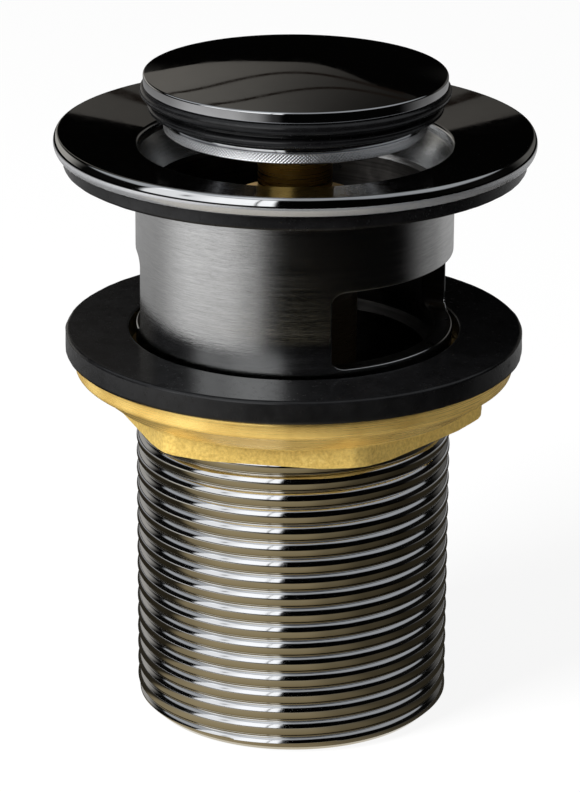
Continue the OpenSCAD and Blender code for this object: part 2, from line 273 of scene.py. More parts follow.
def surface_normal(radius, angle, z):
    """Outward normal of a wall given as radius(angle, z)."""
    rise, swing = 0.004, 0.0002
    r = radius(angle, z)
    lift = (radius(angle, z + rise) - radius(angle, z - rise)) / (2 * rise)
    twist = (radius(angle + swing, z) - radius(angle - swing, z)) / (2 * swing) / r
    c, s = math.cos(angle), math.sin(angle)
    return (c + twist * s, s - twist * c, -lift)


def wall_rows(skin, radius, levels, columns):
    """Rows of corners, one for each level, of a wall given as radius(angle, z)."""
    rows = []
    for z in levels:
        row = []
        for i in range(columns):
            a = TAU * i / columns
            r = radius(a, z)
            row.append((skin.point(r * math.cos(a), r * math.sin(a), z), surface_normal(radius, a, z)))
        rows.append(row)
    return rows


def thread_steps():
    """Places along one pitch where the thread's profile is sampled."""
    arc = [CREST_ROUND * math.sin(math.radians(9 * k)) for k in range(-5, 6)]
    return arc + [PITCH / 2 + ROOT_HALF * k / 2 for k in (-2, -1, 0, 1, 2)]


def helix(skin, radius, low, high, columns, finish=0, inward=False):
    """Threaded wall between two levels; gives back its lowest and highest ring."""
    steps = thread_steps()
    smallest = 0.02
    flip = -1 if inward else 1
    first = math.floor((low - CREST_Z) / PITCH) - 3
    turns = math.ceil((high - low) / PITCH) + 6
    grid = []
    bottom = []
    top = []
    for i in range(columns):
        angle = TAU * i / columns

        def corner(z):
            r = radius(angle, z)
            normal = [flip * v for v in surface_normal(radius, angle, z)]
            return skin.point(r * math.cos(angle), r * math.sin(angle), z), normal

        bottom.append(corner(low))
        top.append(corner(high))
        column = []
        for turn in range(first, first + turns):
            for s in steps:
                z = CREST_Z + PITCH * (turn + i / columns) + s
                if z < low + smallest:
                    column.append(bottom[-1])
                elif z > high - smallest:
                    column.append(top[-1])
                else:
                    column.append(corner(z))
        grid.append(column)
    for i in range(columns):
        j = (i + 1) % columns
        lift = 0 if j else len(steps)
        for k in range(len(grid[i]) - 1 - lift):
            corners = [grid[i][k], grid[j][k + lift], grid[j][k + 1 + lift], grid[i][k + 1]]
            skin.face(corners[::-1] if inward else corners, finish)
    return [index for index, _ in bottom], [index for index, _ in top]


def window_outline(grow):
    """Rounded window in (y, z), grown on all sides, with its outward normals."""
    corner = WINDOW_CORNER + grow
    half = WINDOW_HALF + grow
    low, high = WINDOW_LOW - grow, WINDOW_HIGH + grow
    spots = []
    sides = (
        (half - corner, high - corner, 0, 22),
        (corner - half, high - corner, 90, 8),
        (corner - half, low + corner, 180, 22),
        (half - corner, low + corner, 270, 8),
    )
    for k, (y, z, start, pieces) in enumerate(sides):
        for step in range(ARC_STEPS + 1):
            a = math.radians(start + 90 * step / ARC_STEPS)
            spots.append((y + corner * math.cos(a), z + corner * math.sin(a), math.cos(a), math.sin(a)))
        y2, z2 = sides[(k + 1) % 4][:2]
        a = math.radians(start + 90)
        for step in range(1, pieces):
            t = step / pieces
            spots.append((y + (y2 - y) * t + corner * math.cos(a),
                          z + (z2 - z) * t + corner * math.sin(a), math.cos(a), math.sin(a)))
    return spots


def window_patch(skin, r, centre, low_ring, high_ring, outline, ring, inward, finish):
    """Wall of the barrel round one window, between two rings of the body."""
    flat = []
    known = []
    clear, bands = 0.4, 6
    columns = [c % BODY_COLUMNS for c in range(centre - PATCH_COLUMNS, centre + PATCH_COLUMNS + 1)]
    spread = [TAU * c / BODY_COLUMNS for c in range(-PATCH_COLUMNS, PATCH_COLUMNS + 1)]
    for a, c in zip(spread, columns):
        flat.append(Vector((a * r, BAND_LOW)))
        known.append(low_ring[c])
    for a, c in zip(spread[::-1], columns[::-1]):
        flat.append(Vector((a * r, BAND_HIGH)))
        known.append(high_ring[c])
    edge = len(flat)
    edges = [(k, (k + 1) % edge) for k in range(edge)]
    for (y, z, _, _), index in zip(outline, ring):
        flat.append(Vector((math.asin(y / r) * r, z)))
        known.append(index)
    edges += [(edge + k, edge + (k + 1) % len(ring)) for k in range(len(ring))]
    turn = TAU * centre / BODY_COLUMNS
    inside = max(abs(p.x) for p in flat[edge:])
    for a in spread[1:-1]:
        if abs(a) * r > inside + clear:
            for k in range(1, bands):
                z = BAND_LOW + (BAND_HIGH - BAND_LOW) * k / bands
                flat.append(Vector((a * r, z)))
                known.append(skin.point(r * math.cos(a + turn), r * math.sin(a + turn), z))
    spots, _, faces, origins, _, _ = delaunay_2d_cdt(flat, edges, [], 0, 1e-6)
    hole = [(p.x, p.y) for p in flat[edge:edge + len(ring)]]
    flip = -1 if inward else 1
    for face in faces:
        x = sum(spots[k].x for k in face) / len(face)
        z = sum(spots[k].y for k in face) / len(face)
        within = False
        for k, (x1, z1) in enumerate(hole):
            x0, z0 = hole[k - 1]
            if (z0 > z) != (z1 > z) and x < x0 + (z - z0) / (z1 - z0) * (x1 - x0):
                within = not within
        if within:
            continue
        corners = []
        for k in face:
            a = spots[k].x / r + turn
            corners.append((known[origins[k][0]], (flip * math.cos(a), flip * math.sin(a), 0)))
        skin.face(corners[::-1] if inward else corners, finish)


def window_walls(skin, side, edge, wall):
    """Rounded edges and straight walls of one window; gives its outline, outer ring and inner ring."""
    rings = []
    steps = 3
    for k in range(steps + 1):
        a = math.radians(90 * k / steps)
        rings.append((WINDOW_EDGE * (1 - math.sin(a)), BARREL_R - WINDOW_EDGE * (1 - math.cos(a)), a, 1))
    for k in range(steps + 1):
        a = math.radians(90 - 90 * k / steps)
        rings.append((WINDOW_EDGE * (1 - math.sin(a)), BORE_R + WINDOW_EDGE * (1 - math.cos(a)), a, -1))
    made = []
    for grow, r, a, out in rings:
        row = []
        for y, z, ny, nz in window_outline(grow):
            x = math.sqrt(r * r - y * y)
            normal = (side * (out * math.cos(a) * x / r),
                      side * (out * math.cos(a) * y / r - math.sin(a) * ny), -math.sin(a) * nz)
            row.append((skin.point(side * x, side * y, z), normal))
        made.append(row)
    skin.between(made[:steps + 1], edge)
    skin.between(made[steps:], wall)
    return window_outline(WINDOW_EDGE), [index for index, _ in made[0]], [index for index, _ in made[-1]]


def rolled_rim(r, z, turns):
    """Convex edge from its lowest point, as turns (degrees at the start and end, radius)."""
    rows = []
    for start, end, radius in turns:
        pieces = max(4, round(abs(end - start) / 7))
        for k in range(pieces):
            a = math.radians(start + (end - start) * (k + 0.5) / pieces)
            step = radius * math.radians(end - start) / pieces
            if not rows:
                rows.append((r, z, around_section(start), around_section(start)))
            r -= step * math.sin(a)
            z += step * math.cos(a)
            normal = around_section(start + (end - start) * (k + 1) / pieces)
            rows.append((r, z, normal, normal))
    return rows


def around_section(degrees):
    """Normal (out, up) of a section at an angle above the level."""
    return (math.cos(math.radians(degrees)), math.sin(math.radians(degrees)))


def body_shell(materials):
    """Flange, barrel with its windows and threaded tail, in one skin."""
    bright, brushed, satin, threaded, frosted = range(5)
    skin = Skin()
    n = BODY_COLUMNS
    low_ring, high_ring = helix(skin, tail_radius, 0.0, THREAD_TOP, n, threaded)
    lower = revolve(skin, section([
        (BORE_R, BAND_LOW, 0), (BORE_R, 51.0, 0.2), (TAIL_BORE_R, 49.905, 0.2),
        (TAIL_BORE_R, 0.7, 0.15), (18.205, 0.0, 0.15), (TAIL_END_R, 0.0, 0),
    ], closed=False), n, False, satin, last=low_ring)
    collar = revolve(skin, section([
        (BARREL_R, THREAD_TOP, 0), (BARREL_R, BAND_LOW, 0),
    ], closed=False), n, False, brushed, first=high_ring)
    wall = revolve(skin, section([
        (BARREL_R, BAND_HIGH, 0), (BARREL_R, NECK_LOW, 0.35), (NECK_R, FLANGE_LOW, 0.25),
    ], closed=False), n, False, brushed)
    edge = rolled_rim(RIM_START_R, FLANGE_LOW, RIM_TURNS)
    under = [row for row in edge if row[3][1] < 0.01]
    underside = [(NECK_R, FLANGE_LOW, (0, -1), (0, -1))] + under
    lower_rim = revolve(skin, underside, n, False, frosted, first=wall[-1])
    dish = edge[len(under) - 1:] + section([
        (DISH_R, edge[-1][1] - 0.05, 0), (OPENING_R, DISH_LOW, 0.5), (OPENING_R, FLANGE_LOW, 0),
    ], closed=False)[1:]
    flange = revolve(skin, dish, n, False, bright, first=lower_rim[-1])
    funnel = revolve(skin, section([
        (OPENING_R, FLANGE_LOW, 0), (OPENING_R, FUNNEL_HIGH, 0.3), (BORE_R, FUNNEL_LOW, 0.4),
        (BORE_R, FUNNEL_END, 0),
    ], closed=False), n, False, brushed, first=flange[-1])
    inner_top = revolve(skin, section([
        (BORE_R, FUNNEL_END, 0), (BORE_R, BAND_HIGH, 0),
    ], closed=False), n, False, satin, first=funnel[-1])
    outer_low, outer_high = collar[-1], wall[0]
    inner_low, inner_high = lower[0], inner_top[-1]
    patched = set()
    for centre, side in ((0, 1), (n // 2, -1)):
        outline, outer, inner = window_walls(skin, side, bright, satin)
        window_patch(skin, BARREL_R, centre, outer_low, outer_high, outline, outer, False, brushed)
        window_patch(skin, BORE_R, centre, inner_low, inner_high, outline, inner, True, satin)
        patched.update(c % n for c in range(centre - PATCH_COLUMNS, centre + PATCH_COLUMNS))
    for i in range(n):
        if i in patched:
            continue
        j = (i + 1) % n
        a, b = TAU * i / n, TAU * (i + 1) / n
        out_a, out_b = around((1, 0), a), around((1, 0), b)
        in_a, in_b = around((-1, 0), a), around((-1, 0), b)
        skin.face([(outer_low[i], out_a), (outer_low[j], out_b),
                   (outer_high[j], out_b), (outer_high[i], out_a)], brushed)
        skin.face([(inner_low[j], in_b), (inner_low[i], in_a),
                   (inner_high[i], in_a), (inner_high[j], in_b)], satin)
    return skin.build("body_shell", "body", materials, "waste_body")


def bridge(materials):
    """Cast cross in the tail, with the boss that carries the cartridge."""
    skin = Skin()
    tapped_r, boss_r, boss_low, boss_high = 5.03, 7.5, 33.0, 38.0
    arm_z, arm_half, arm_tall, corner = 35.5, 1.6, 2.0, 0.7
    revolve(skin, section([
        (tapped_r, boss_low, 0.35), (boss_r, boss_low, 0.6),
        (boss_r, boss_high, 0.6), (tapped_r, boss_high, 0.35),
    ]), 96)
    outline = []
    for cy, cz, start in ((1, 1, 0), (-1, 1, 90), (-1, -1, 180), (1, -1, 270)):
        for step in range(ARC_STEPS + 1):
            a = math.radians(start + 90 * step / ARC_STEPS)
            outline.append((cy, cz, math.cos(a), math.sin(a)))
    reaches = [6.4, 7.2, 7.7, 8.3, 9.2, 11.0, 13.0, 14.6, 15.6, 16.3, 16.9, 17.4, 17.9]
    for turn in (45, 135, 225, 315):
        c, s = math.cos(math.radians(turn)), math.sin(math.radians(turn))
        rows = []
        for reach in reaches:
            swell = 0.55 * max(0.0, (8.6 - reach) / 1.4) ** 2
            swell += 0.5 * max(0.0, (reach - 15.4) / 2.1) ** 2
            half, tall = arm_half + swell, arm_tall + 0.35 * swell
            row = []
            for cy, cz, ny, nz in outline:
                y = cy * (half - corner) + corner * ny
                z = arm_z + cz * (tall - corner) + corner * nz
                normal = (-s * ny, c * ny, nz)
                row.append((skin.point(reach * c - y * s, reach * s + y * c, z), normal))
            rows.append(row)
        skin.between(rows)
        skin.face([(index, (c, s, 0)) for index, _ in rows[-1]])
        skin.face([(index, (-c, -s, 0)) for index, _ in reversed(rows[0])])
    return skin.build("bridge", "body", materials)


def plug_cap(materials):
    """Shallow polished dome with a thin rim and a recess for the hub."""
    recess_z, crown_r, facets = 86.6, 19.3, 48
    centre = PLUG_TOP - DOME_R
    corners = [(0.0, recess_z, 0), (HUB_R, recess_z, 0), (HUB_R, CAP_LOW, 0.1), (CAP_R, CAP_LOW, 0.2)]
    corners.append((CAP_R, centre + math.sqrt(DOME_R**2 - CAP_R**2), 0.28))
    for k in range(1, facets + 1):
        r = crown_r * (1 - k / facets)
        corners.append((r, centre + math.sqrt(DOME_R**2 - r * r), None))
    skin = Skin()
    revolve(skin, section(corners, closed=False, steps=8), PLUG_COLUMNS, False)
    return skin.build("plug_dome", "plug", materials, "plug_cap")


def plug_seal(materials):
    """Moulded seal with a large lip above a small one."""
    skin = Skin()
    waist_r, small_r, large_r, top_r = 18.4, 19.3, 20.25, 18.8
    small_low, small_high, large_low, large_high = 82.5, 83.5, 84.35, 85.75
    revolve(skin, section([
        (HUB_R, SEAL_LOW, 0), (waist_r, SEAL_LOW, 0.12), (waist_r, small_low, 0.1),
        (small_r, small_low, 0.46), (small_r, small_high, 0.46), (waist_r, small_high, 0.2),
        (waist_r, large_low, 0.2),
        (large_r, large_low, 0.6), (large_r, large_high, 0.6), (top_r + 0.1, large_high, 0.05),
        (top_r, CAP_LOW, 0), (HUB_R, CAP_LOW, 0),
    ]), PLUG_COLUMNS)
    return skin.build("seal_lips", "plug", materials, "plug_seal")


def clamp_ring(materials):
    """Ring with a smooth band above a fine diamond knurl."""
    bright, knurled = 0, 1
    skin = Skin()
    diamonds = 228
    columns = diamonds * 4
    low, high, rows = 80.0, 81.18, 11
    depth, fade_out = 0.05, 0.12
    pitch = (high - low) / 2.5
    levels = [low + (high - low) * k / rows for k in range(rows + 1)]

    def knurl(angle, z):
        a = angle * diamonds / TAU
        b = (z - low) / pitch
        u = abs((a + b) % 1.0 - 0.5) * 2
        v = abs((a - b) % 1.0 - 0.5) * 2
        fade = smoothstep((z - low) / fade_out) * smoothstep((high - z) / fade_out)
        return CLAMP_R - depth * fade * (1 - min(1.0, 1.4 * min(u, v)))

    grid = wall_rows(skin, knurl, levels, columns)
    skin.between(grid, knurled)
    lowest = [index for index, _ in grid[0]]
    highest = [index for index, _ in grid[-1]]
    revolve(skin, section([
        (CLAMP_R, high, 0), (CLAMP_R, high + 0.02, 0), (CLAMP_R - 0.15, high + 0.1, 0),
        (CLAMP_R, high + 0.2, 0.08), (CLAMP_R, SEAL_LOW - 0.55, 0.25), (CLAMP_R - 0.5, SEAL_LOW, 0.15),
        (HUB_R, SEAL_LOW, 0), (HUB_R, CLAMP_LOW, 0), (CLAMP_R - 0.25, CLAMP_LOW, 0.1), (CLAMP_R, low, 0),
    ], closed=False), columns, False, bright, first=highest, last=lowest)
    return skin.build("knurled_ring", "plug", materials, "clamp_ring")


def coil_spring(materials):
    """Return spring, close-wound for a turn at each end."""
    skin = Skin()
    low, high, coil_r, wire_r = 40.0, 54.9, 4.6, 0.45
    turns, closed_turns, per_turn, sides = 6.5, 1, 48, 16
    open_pitch = (high - low - 2 * wire_r - 4 * wire_r * closed_turns) / (turns - 2 * closed_turns)
    rings = []
    for i in range(int(turns * per_turn) + 1):
        turn = i / per_turn
        wound = min(turn, closed_turns) + max(turn - turns + closed_turns, 0)
        z = low + wire_r + 2 * wire_r * wound + open_pitch * (turn - wound)
        ring = []
        for k in range(sides):
            side = TAU * k / sides
            r = coil_r + wire_r * math.cos(side)
            x, y = math.cos(TAU * turn), math.sin(TAU * turn)
            normal = (x * math.cos(side), y * math.cos(side), math.sin(side))
            ring.append((skin.point(r * x, r * y, z + wire_r * math.sin(side)), normal))
        rings.append(ring)
    skin.between(rings[::-1])
    skin.face([(index, (0, -1, 0)) for index, _ in rings[0]])
    skin.face([(index, (0, math.cos(TAU * turns), 0)) for index, _ in reversed(rings[-1])])
    spring = skin.build("coil_spring", "body", materials, "return_spring")
    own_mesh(spring)
    return spring


def rubber_ring(name, inner, outer, low, high, soft, nicks, materials, body, replaces):
    """Moulded flat ring with a slightly uneven rim and torn flakes of flash (degrees, level, size)."""
    skin = Skin()
    columns, bore_round, flake_half = 360, 0.25, 0.35
    revolve(skin, section([
        (inner, low, bore_round), (outer, low, soft), (outer, low + 0.3 * (high - low), None),
        (outer, low + 0.55 * (high - low), None), (outer, high, soft), (inner, high, bore_round),
    ], steps=5), columns)
    for k, (x, y, z) in enumerate(skin.points):
        a = math.atan2(y, x)
        r = math.hypot(x, y) / MM
        if r < outer - soft - 0.05:
            continue
        sway = 0.06 * noise.noise((5 * math.cos(a), 5 * math.sin(a), z / MM * 0.4))
        sway += 0.05 * noise.noise((19 * math.cos(a), 19 * math.sin(a), z / MM * 1.1)) - 0.05
        for spot, level, size in nicks:
            off = (a - math.radians(spot) + math.pi) % TAU - math.pi
            near = math.exp(-((off * r / (0.7 * size)) ** 2) - ((z / MM - level) / flake_half) ** 2)
            sway += 0.3 * size * near
        scale = (r + sway) / r
        skin.points[k] = (x * scale, y * scale, z)
    return skin.build(name, body, materials, replaces)


def soft_min(a, b, k):
    """The smaller of two values, with the step between them rounded over k."""
    h = max(0.0, min(1.0, 0.5 + 0.5 * (b - a) / k))
    return b + (a - b) * h - k * h * (1 - h)


def soft_max(a, b, k):
    """The larger of two values, with the step between them rounded over k."""
    return -soft_min(-a, -b, k)


def nut_outside(angle, z):
    """Backnut's outside: a cast hexagon below a turned round flange."""
    off = (angle - NUT_CORNER_ANGLE) % (TAU / 6) - TAU / 12
    flat = NUT_APOTHEM / math.cos(off)
    r = soft_min(flat, NUT_CORNER_R, 0.25)
    r = soft_min(r, NUT_CHAMFER_R + 3.7 * (z - NUT_LOW), 0.3)
    c, s = math.cos(angle) * NUT_APOTHEM, math.sin(angle) * NUT_APOTHEM
    cast = 0.06 * noise.noise((c * 0.5, s * 0.5, z * 0.5))
    cast += 0.035 * noise.noise((c * 1.7, s * 1.7, z * 1.7))
    r += cast * smoothstep((z - NUT_LOW) / 0.4)
    rise = (NUT_FLANGE_R - NUT_FLANGE_ROUND - NUT_LEDGE_R) / (NUT_FLANGE_LOW - NUT_LEDGE_Z)
    cone = NUT_LEDGE_R + (z - NUT_LEDGE_Z) * rise
    ledge = NUT_LEDGE_R + (z - NUT_LEDGE_Z) * 5
    return soft_max(r, soft_min(cone, ledge, 0.3), 0.5)


def backnut(materials):
    """Backnut with its hexagon, turned flange and threaded bore."""
    cast, turned = 0, 1
    skin = Skin()
    columns = 768
    stages = (NUT_LOW, NUT_LOW + 1.1, NUT_LEDGE_Z - 0.9, NUT_LEDGE_Z + 0.4, NUT_FLANGE_LOW)
    levels = [NUT_LOW]
    for low, high, pieces in zip(stages, stages[1:], (10, 6, 18, 8)):
        levels += [low + (high - low) * k / pieces for k in range(1, pieces + 1)]
    grid = wall_rows(skin, nut_outside, levels, columns)
    flat_r = NUT_FLANGE_R - NUT_FLANGE_ROUND
    rim = section([
        (flat_r, NUT_FLANGE_LOW, 0), (NUT_FLANGE_R, NUT_FLANGE_LOW, NUT_FLANGE_ROUND),
        (NUT_FLANGE_R, NUT_HIGH, NUT_FLANGE_ROUND), (flat_r, NUT_HIGH, 0),
    ], closed=False)
    for r, z, _, normal in rim[1:]:
        levels.append(z)
        row = []
        for i in range(columns):
            a = TAU * i / columns
            row.append((skin.point(r * math.cos(a), r * math.sin(a), z), around(normal, a)))
        grid.append(row)
    for k, z in enumerate(levels[:-1]):
        skin.between(grid[k:k + 2], turned if z > NUT_LEDGE_Z + 0.3 else cast)
    bore_columns = columns // 3
    bottom, top = helix(skin, nut_bore_radius, NUT_LOW, NUT_HIGH, bore_columns, turned, True)
    for ring, hole, up in ((grid[0], bottom, -1), (grid[-1], top, 1)):
        for i in range(bore_columns):
            j = (i + 1) % bore_columns
            outer = [ring[(3 * i + k) % columns][0] for k in range(4)]
            corners = [(hole[i], (0, 0, up))] + [(index, (0, 0, up)) for index in outer]
            corners.append((hole[j], (0, 0, up)))
            skin.face(corners if up > 0 else corners[::-1], turned)
    return skin.build("threaded_backnut", "nut", materials, "backnut")


class Shader:
    """A node material with coordinates in millimetres of its object."""

    def __init__(self, name, colour, metallic, roughness):
        self.material = bpy.data.materials.new(name)
        self.material.use_nodes = True
        self.tree = self.material.node_tree
        self.bsdf = self.tree.nodes["Principled BSDF"]
        self.bsdf.inputs["Base Color"].default_value = (*colour, 1)
        self.bsdf.inputs["Metallic"].default_value = metallic
        self.bsdf.inputs["Roughness"].default_value = roughness
        self.place = self.add("ShaderNodeTexCoord").outputs["Object"]

    def add(self, kind, **values):
        node = self.tree.nodes.new(kind)
        for key, value in values.items():
            if key in node.inputs:
                node.inputs[key].default_value = value
            else:
                setattr(node, key, value)
        return node

    def join(self, source, target):
        self.tree.links.new(source, target)

    def grain(self, per_mm, detail=2.0, rough=0.5, stretch=(1, 1, 1)):
        """Noise of so many cells a millimetre, stretched along the axes; gives 0 to 1."""
        mapping = self.add("ShaderNodeMapping")
        mapping.inputs["Scale"].default_value = tuple(1000 * per_mm * s for s in stretch)
        self.join(self.place, mapping.inputs["Vector"])
        field = self.add("ShaderNodeTexNoise", Scale=1.0, Detail=detail, Roughness=rough)
        self.join(mapping.outputs["Vector"], field.inputs["Vector"])
        return field.outputs["Fac"]

    def upward(self):
        """How far the surface faces up along the object's axis, -1 to 1."""
        parts = self.add("ShaderNodeSeparateXYZ")
        self.join(self.add("ShaderNodeTexCoord").outputs["Normal"], parts.inputs["Vector"])
        return parts.outputs["Z"]

    def spread(self, value, low, high, start=0.3, end=0.7):
        """Maps the middle of a noise onto low to high."""
        node = self.add("ShaderNodeMapRange")
        node.inputs["From Min"].default_value = start
        node.inputs["From Max"].default_value = end
        node.inputs["To Min"].default_value = low
        node.inputs["To Max"].default_value = high
        self.join(value, node.inputs["Value"])
        return node.outputs["Result"]

    def ramp(self, value, *stops):
        """Colour for a value of 0 to 1, from stops (value, colour)."""
        node = self.add("ShaderNodeValToRGB")
        elements = node.color_ramp.elements
        while len(elements) < len(stops):
            elements.new(0.5)
        for element, (position, colour) in zip(elements, stops):
            element.position = position
            element.color = (*colour, 1)
        self.join(value, node.inputs["Fac"])
        return node.outputs["Color"]

    def colour(self, value):
        self.join(value, self.bsdf.inputs["Base Color"])

    def rough(self, value):
        self.join(value, self.bsdf.inputs["Roughness"])

    def bumps(self, *layers):
        """Bump layers (height, strength, depth in mm), each on top of the one before."""
        below = None
        for height, strength, depth in layers:
            node = self.add("ShaderNodeBump", Strength=strength, Distance=depth * MM)
            self.join(height, node.inputs["Height"])
            if below:
                self.join(below, node.inputs["Normal"])
            below = node.outputs["Normal"]
        self.join(below, self.bsdf.inputs["Normal"])


def bright_chrome(name):
    """Polished plating, dark as the photo shows it."""
    s = Shader(name, (0.6, 0.6, 0.61), 1.0, 0.05)
    s.colour(s.ramp(s.grain(0.12, 3), (0.3, (0.55, 0.55, 0.56)), (0.7, (0.62, 0.62, 0.625))))
    s.rough(s.spread(s.grain(0.5, 5, 0.6), 0.025, 0.075))
    s.bumps((s.grain(0.06, 2), 0.25, 0.05), (s.grain(9.0, 2), 0.04, 0.004))
    return s.material


def knurled_chrome_painted_light(name):
    """Plating on the diamonds of the knurl, painted much lighter than the other plating as a painted
    highlight.
    """
    # Painted highlight: base colour near white, lighter than the polished plating of the same ring.
    s = Shader(name, (0.9, 0.9, 0.91), 0.94, 0.12)
    s.colour(s.ramp(s.grain(0.3, 3), (0.3, (0.86, 0.86, 0.87)), (0.7, (0.95, 0.95, 0.96))))
    s.rough(s.spread(s.grain(2.0, 4, 0.6), 0.1, 0.2))
    s.bumps((s.grain(8.0, 2), 0.08, 0.005))
    return s.material


def brushed_chrome(name):
    """Plating over fine turning lines, which spread its reflections along the axis."""
    s = Shader(name, (0.6, 0.6, 0.6), 1.0, 0.2)
    fine = s.grain(1.0, 3, 0.65, (0.45, 0.45, 11.0))
    wide = s.grain(1.0, 2, 0.5, (0.06, 0.06, 2.2))
    s.colour(s.ramp(fine, (0.3, (0.53, 0.53, 0.53)), (0.7, (0.66, 0.66, 0.655))))
    s.rough(s.spread(wide, 0.14, 0.22))
    s.bumps((fine, 0.3, 0.03))
    s.bsdf.inputs["Anisotropic"].default_value = 0.5
    tangent = s.add("ShaderNodeTangent", direction_type="RADIAL", axis="Z")
    s.join(tangent.outputs["Tangent"], s.bsdf.inputs["Tangent"])
    return s.material


def threaded_chrome_shaded_below(name):
    """Plating painted darker and browner on faces turned down: painted shade under the thread's ridges.
    """
    s = Shader(name, (0.58, 0.55, 0.48), 1.0, 0.07)
    # Painted shade: chrome on faces turned up, going to a dark brassy brown on faces turned down.
    s.colour(s.ramp(s.spread(s.upward(), 0, 1, -0.8, 0.4),
                    (0.0, (0.4, 0.34, 0.22)), (0.5, (0.5, 0.46, 0.36)), (0.76, (0.55, 0.51, 0.42)),
                    (0.84, (0.63, 0.63, 0.64))))
    s.rough(s.spread(s.grain(0.7, 4, 0.6), 0.04, 0.12))
    s.bumps((s.grain(0.3, 3), 0.3, 0.03), (s.grain(6.0, 2), 0.06, 0.006))
    return s.material


def frosted_chrome(name):
    """Softer plating on the lower half of the flange's edge."""
    s = Shader(name, (0.47, 0.475, 0.49), 0.75, 0.13)
    s.colour(s.ramp(s.grain(0.4, 4), (0.3, (0.46, 0.465, 0.48)), (0.7, (0.48, 0.485, 0.5))))
    s.rough(s.spread(s.grain(0.4, 2), 0.1, 0.16))
    return s.material


def satin_chrome_painted_shade(name):
    """Dull plating of the bore, painted very dark as painted shade inside the barrel."""
    s = Shader(name, (0.11, 0.105, 0.1), 1.0, 0.36)
    rings = s.grain(1.0, 3, 0.6, (0.12, 0.12, 3.0))
    # Painted shade: colours far darker than plating, for the unlit inside of the barrel.
    s.colour(s.ramp(rings, (0.3, (0.045, 0.042, 0.04)), (0.7, (0.085, 0.08, 0.075))))
    s.rough(s.spread(s.grain(0.6, 4), 0.26, 0.42))
    s.bumps((rings, 0.2, 0.03))
    return s.material


def rubber(name):
    """Moulded black rubber with a slight sheen."""
    s = Shader(name, (0.006, 0.006, 0.0065), 0.0, 0.2)
    s.bsdf.inputs["Specular IOR Level"].default_value = 0.4
    cloud = s.grain(0.35, 5, 0.6)
    speck = s.grain(5.0, 2)
    s.colour(s.ramp(cloud, (0.25, (0.002, 0.002, 0.0022)), (0.75, (0.006, 0.006, 0.0064))))
    s.rough(s.spread(s.grain(1.1, 5, 0.65), 0.14, 0.3))
    s.bumps((cloud, 0.12, 0.04), (speck, 0.08, 0.012))
    return s.material


def turned_brass(name, metallic, tint):
    """Brass with fine turning lines and a light tarnish."""
    mean = [tint * v for v in (0.68, 0.46, 0.13)]
    dull = [tint * v for v in (0.58, 0.38, 0.1)]
    brighter = [tint * v for v in (0.78, 0.55, 0.17)]
    s = Shader(name, mean, metallic, 0.25)
    lines = s.grain(1.0, 3, 0.6, (0.06, 0.06, 6.0))
    s.colour(s.ramp(s.grain(0.18, 4, 0.6), (0.3, dull), (0.7, brighter)))
    s.rough(s.spread(lines, 0.2, 0.38))
    s.bumps((lines, 0.22, 0.015))
    return s.material


def brass_painted_shade_below(name, brighter):
    """Turned brass, bright above a level and painted nearly black a little below it, as painted shade
    inside the barrel.
    """
    fade = 3
    s = Shader(name, (0.3, 0.2, 0.06), 0.3, 0.3)
    lines = s.grain(1.0, 3, 0.6, (0.06, 0.06, 6.0))
    parts = s.add("ShaderNodeSeparateXYZ")
    s.join(s.place, parts.inputs["Vector"])
    # Painted shade: nearly black below the level, where the housing sits in the unlit barrel.
    s.colour(s.ramp(s.spread(parts.outputs["Z"], 0, 1, (brighter - fade) * MM, brighter * MM),
                    (0.0, (0.02, 0.014, 0.007)), (0.5, (0.1, 0.065, 0.02)), (1.0, (0.95, 0.66, 0.3))))
    s.rough(s.spread(lines, 0.22, 0.4))
    s.bumps((lines, 0.22, 0.015))
    return s.material


def cast_brass(name):
    """Sand-cast brass skin."""
    s = Shader(name, (0.84, 0.6, 0.18), 0.62, 0.5)
    sand = s.grain(2.4, 4, 0.65)
    grit = s.grain(7.0, 2)
    s.colour(s.ramp(sand, (0.25, (0.6, 0.39, 0.09)), (0.6, (0.9, 0.65, 0.19)), (0.8, (0.97, 0.77, 0.31))))
    s.rough(s.spread(grit, 0.38, 0.6))
    s.bumps((sand, 0.55, 0.1), (grit, 0.3, 0.04))
    return s.material


def acetal(name):
    """White plastic of the cartridge's inner pieces."""
    s = Shader(name, (0.72, 0.71, 0.67), 0.0, 0.4)
    s.colour(s.ramp(s.grain(0.4, 4), (0.3, (0.68, 0.67, 0.62)), (0.7, (0.77, 0.76, 0.72))))
    s.rough(s.spread(s.grain(1.5, 4), 0.32, 0.5))
    s.bumps((s.grain(4.0, 3), 0.12, 0.03))
    return s.material


def stainless(name):
    """Drawn steel of the spring, ring and washer."""
    s = Shader(name, (0.45, 0.45, 0.44), 1.0, 0.28)
    drawn = s.grain(3.0, 4, 0.6)
    s.colour(s.ramp(drawn, (0.3, (0.38, 0.38, 0.37)), (0.7, (0.52, 0.52, 0.51))))
    s.rough(s.spread(s.grain(1.2, 4), 0.2, 0.36))
    s.bumps((drawn, 0.12, 0.01))
    return s.material


# Stage. Its lengths are in metres, in a frame whose -Y side faces the camera.
FACING = Matrix.Rotation(math.radians(30.7), 4, "Z")
ROOM_R = 0.9
WALL_Y = 0.43
AIM = Vector((0, 0, 0.05))


def staged(name, points, faces, material):
    """Surface that isn't part of the object."""
    mesh = bpy.data.meshes.new(name)
    mesh.from_pydata(points, [], faces)
    mesh.materials.append(material)
    thing = bpy.data.objects.new(name, mesh)
    thing.matrix_world = FACING
    bpy.context.scene.collection.objects.link(thing)
    return thing


def reflector(thing):
    """Seen only in the reflections of the metal, as studio cards out of the picture are."""
    thing.visible_camera = False
    thing.visible_diffuse = False
    thing.visible_shadow = False
    thing.visible_transmission = False
    return thing


def angle_step(angle, *stops):
    """Level at an angle or place, from stops (place, level) with smooth ramps between them."""
    for (a0, v0), (a1, v1) in zip(stops, stops[1:]):
        if a0 <= angle <= a1:
            return v0 + (v1 - v0) * smoothstep((angle - a0) / (a1 - a0))
    return stops[-1][1]


